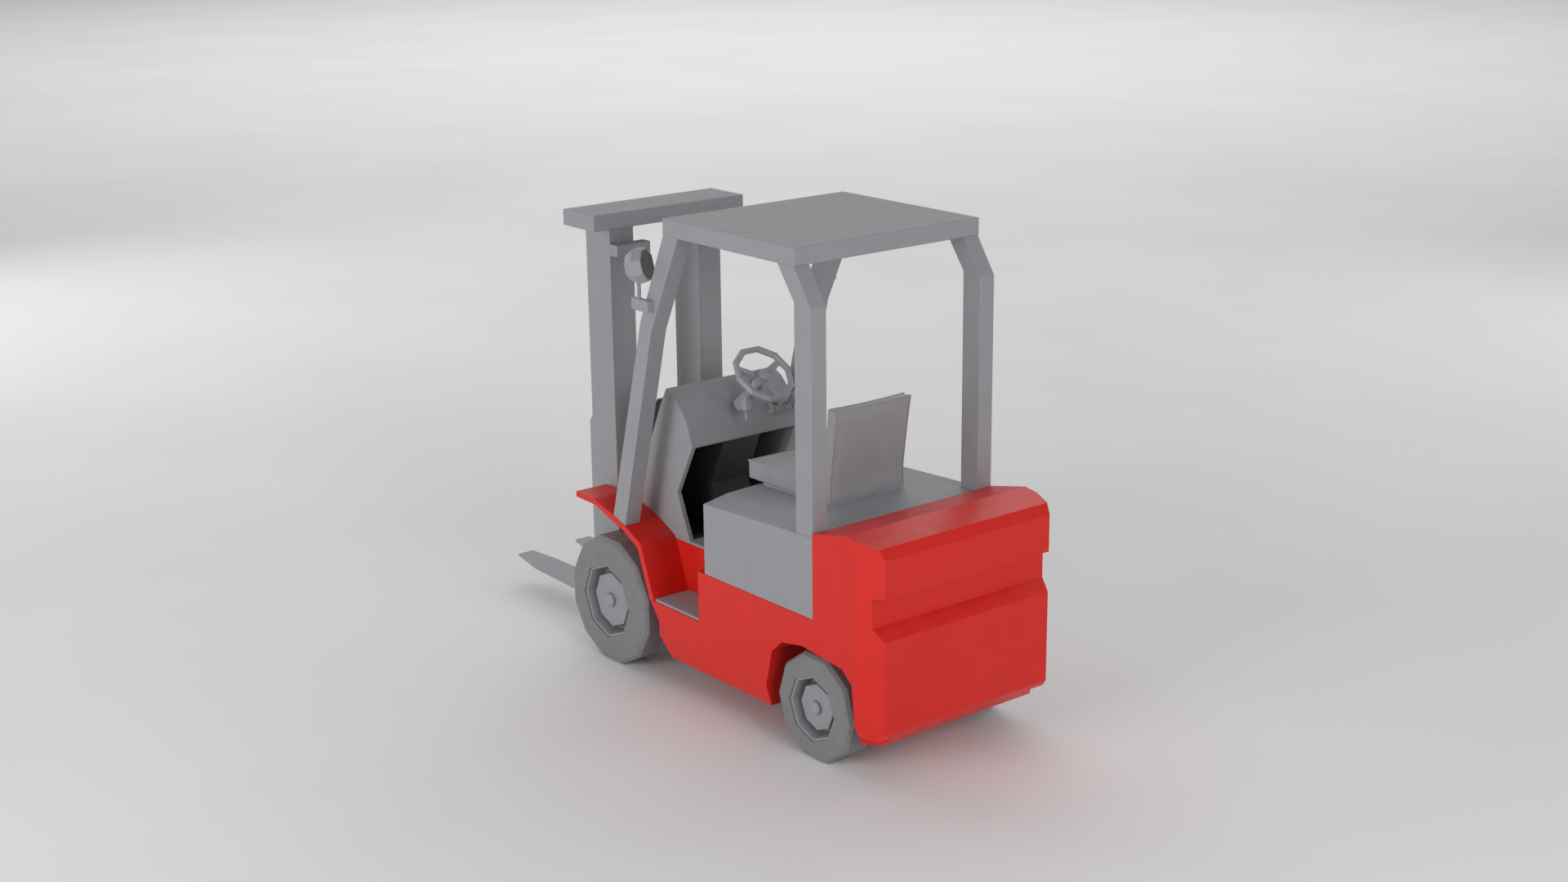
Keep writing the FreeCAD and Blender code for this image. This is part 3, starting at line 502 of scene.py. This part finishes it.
def make_backrest():
    """Leaning backrest with piping round its front and rear edges."""
    low, high = box_mm("seat_backrest")
    inset = 0.3
    face_inset = 0.45
    side_pull = 0.25
    top_pull = 0.3
    fold_z = low.z + BACK_FOLD
    thick = high.y - low.y - BACK_LEAN
    counts = (30, 4, 30)

    def place(u, v, w):
        z = low.z + inset + (w + 1.0) / 2.0 * (high.z - low.z - 2.0 * inset)
        share = max(0.0, (z - fold_z) / (high.z - fold_z))
        half = (high.x - low.x) / 2.0 - inset - side_pull * (1.0 - w * w)
        y = low.y + face_inset + BACK_LEAN * share + (v + 1.0) / 2.0 * (thick - 2.0 * face_inset)
        return (low.x + high.x) / 2.0 + u * half, y, z - top_pull * (w + 1.0) / 2.0 * (1.0 - u * u)

    mesh, index = lattice(counts, place)
    nx, ny, nz = counts
    held = [0.0] * len(index)
    most = [0.0] * len(index)
    seam = set()
    for (i, j, k), n in index.items():
        on_edge = i in (0, nx) or k in (0, nz)
        held[n] = 0.7 if on_edge else 0.0
        most[n] = 0.25 if on_edge else 0.75
        if on_edge and j in (0, ny):
            seam.add(n)
    puff(mesh, held, most, 4.0)
    rear_seam = [mesh.vertices[index[i, ny, k]].co.copy() for i, k in perimeter(nx, nz)]
    front_seam = [mesh.vertices[index[i, 0, k]].co.copy() for i, k in perimeter(nx, nz)]
    pad_piece("seat_backrest_pad", "seat_backrest", mesh, seam)
    welt("seat_backrest_rear_welt", body_of["seat_backrest"], rear_seam, 0.26)
    welt("seat_backrest_front_welt", body_of["seat_backrest"], front_seam, 0.26)


make_cushion()
make_backrest()


# ---- floor, light and camera --------------------------------------------------
def make_floor():
    """Plain pale floor under the truck."""
    half = 12.0
    mesh = bpy.data.meshes.new("floor")
    corners = [(-half, -half, 0), (half, -half, 0), (half, half, 0), (-half, half, 0)]
    mesh.from_pydata(corners, [], [(0, 1, 2, 3)])
    floor = bpy.data.objects.new("floor", mesh)
    scene.collection.objects.link(floor)
    g = Graph("pale_floor")
    base = g.mix(g.remap(g.noise(6, 3), 0.35, 0.65), (0.87, 0.87, 0.87, 1), (0.90, 0.90, 0.90, 1))
    normal = g.bump(g.noise(900, 2), 0.00004)
    mesh.materials.append(g.finish(base, 0.85, normal, IOR=1.4))


def direction(azimuth, elevation):
    """Unit vector towards a viewer; azimuth 0 stands at -Y and 90 at +X."""
    a = math.radians(azimuth)
    e = math.radians(elevation)
    return Vector((math.sin(a) * math.cos(e), -math.cos(a) * math.cos(e), math.sin(e)))


def area_light(name, azimuth, elevation, distance, size, power, aim):
    """Round soft light that looks at aim from the given direction; metres and watts."""
    data = bpy.data.lights.new(name, "AREA")
    data.shape = "DISK"
    data.size = size
    data.energy = power
    lamp = bpy.data.objects.new(name, data)
    scene.collection.objects.link(lamp)
    towards = direction(azimuth, elevation)
    lamp.location = aim + towards * distance
    lamp.rotation_mode = "QUATERNION"
    lamp.rotation_quaternion = (-towards).to_track_quat("-Z", "Y")
    lamp.visible_camera = False


def make_camera():
    """50 mm lens at the view's angle, with its slight roll."""
    azimuth = 141.29
    elevation = 16.135
    roll = math.radians(-0.64177)
    place = (0.48484, 0.63553, 0.31801)
    back = direction(azimuth, elevation)
    a = math.radians(azimuth)
    right = Vector((math.cos(a), math.sin(a), 0.0))
    up = back.cross(right)
    turned_right = right * math.cos(roll) + up * math.sin(roll)
    turned_up = up * math.cos(roll) - right * math.sin(roll)
    data = bpy.data.cameras.new("camera")
    data.lens = 50.0
    data.sensor_width = 36.0
    data.clip_start = 0.01
    camera = bpy.data.objects.new("camera", data)
    scene.collection.objects.link(camera)
    turn = Matrix((turned_right, turned_up, back)).transposed().to_4x4()
    camera.matrix_world = Matrix.Translation(place) @ turn
    scene.camera = camera


middle = (cad_low + cad_high) / 2.0
make_floor()
area_light("key", 172, 16, 0.70, 0.30, 1.15, middle)
area_light("left_fill", 94, 12, 0.80, 0.40, 2.1, middle)
area_light("front_fill", 10, 20, 0.95, 0.60, 1.4, middle)
area_light("right_fill", 262, 18, 0.90, 0.60, 0.9, middle)
area_light("far_floor", 0, 90, 1.5, 3.0, 30, direction(321, 0) * 2.3)
world = bpy.data.worlds.new("studio")
world.use_nodes = True
world.node_tree.nodes["Background"].inputs["Color"].default_value = (0.80, 0.81, 0.83, 1)
world.node_tree.nodes["Background"].inputs["Strength"].default_value = 0.30
scene.world = world
scene.view_settings.view_transform = "Standard"
make_camera()
